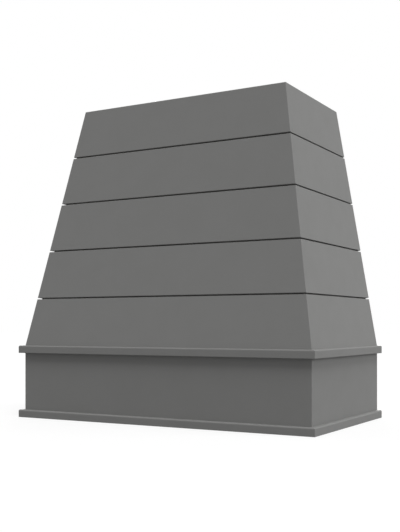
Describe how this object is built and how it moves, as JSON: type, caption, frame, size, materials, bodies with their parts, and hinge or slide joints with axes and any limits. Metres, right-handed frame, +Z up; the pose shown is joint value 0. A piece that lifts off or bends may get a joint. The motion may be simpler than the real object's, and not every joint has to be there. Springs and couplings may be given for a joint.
{
  "type": "wooden range hood cover",
  "caption": "Wall-hung wooden cover for a kitchen range hood: a tapered shiplap body on a plain apron with a trim strip round its top and foot, open at the back, foot and top.",
  "frame": {"origin": "on the plane of the foot, at the centre of the overall box in X and Y", "axes": "+X to the right as seen from the front, +Y from the front to the wall, +Z up"},
  "size_m": [0.942, 0.516, 0.917],
  "materials": {
    "painted_wood": "smooth satin grey paint",
    "plywood": "sanded birch plywood with bare edges",
    "timber": "planed pale softwood, bare",
    "screw": "yellow zinc plate"
  },
  "bodies": {
    "root": {"apron_front": "painted_wood", "apron_left": "painted_wood", "apron_right": "painted_wood", "back_stile_left": "timber", "back_stile_right": "timber", "corner_post_left": "timber", "corner_post_right": "timber", "deck": "plywood", "deck_screw_back_stile_left": "screw", "deck_screw_back_stile_right": "screw", "deck_screw_corner_post_left": "screw", "deck_screw_corner_post_right": "screw", "deck_screw_front_rib_left": "screw", "deck_screw_front_rib_right": "screw", "deck_screw_side_rib_left": "screw", "deck_screw_side_rib_right": "screw", "front_rib_left": "timber", "front_rib_right": "timber", "glue_block_left": "timber", "glue_block_right": "timber", "liner_rail_back": "timber", "liner_rail_front": "timber", "liner_rail_left": "timber", "liner_rail_right": "timber", "lower_hanging_rail": "timber", "lower_trim_front": "painted_wood", "lower_trim_left": "painted_wood", "lower_trim_right": "painted_wood", "rail_screw_lower_left": "screw", "rail_screw_lower_right": "screw", "rail_screw_upper_left": "screw", "rail_screw_upper_right": "screw", "ring_screw_back_stile_left": "screw", "ring_screw_back_stile_right": "screw", "ring_screw_corner_post_left": "screw", "ring_screw_corner_post_right": "screw", "shiplap_1_front": "painted_wood", "shiplap_1_left": "painted_wood", "shiplap_1_right": "painted_wood", "shiplap_2_front": "painted_wood", "shiplap_2_left": "painted_wood", "shiplap_2_right": "painted_wood", "shiplap_3_front": "painted_wood", "shiplap_3_left": "painted_wood", "shiplap_3_right": "painted_wood", "shiplap_4_front": "painted_wood", "shiplap_4_left": "painted_wood", "shiplap_4_right": "painted_wood", "shiplap_5_front": "painted_wood", "shiplap_5_left": "painted_wood", "shiplap_5_right": "painted_wood", "side_rib_left": "timber", "side_rib_right": "timber", "top_ring": "plywood", "upper_hanging_rail": "timber", "upper_trim_front": "painted_wood", "upper_trim_left": "painted_wood", "upper_trim_right": "painted_wood"}
  },
  "joints": []
}
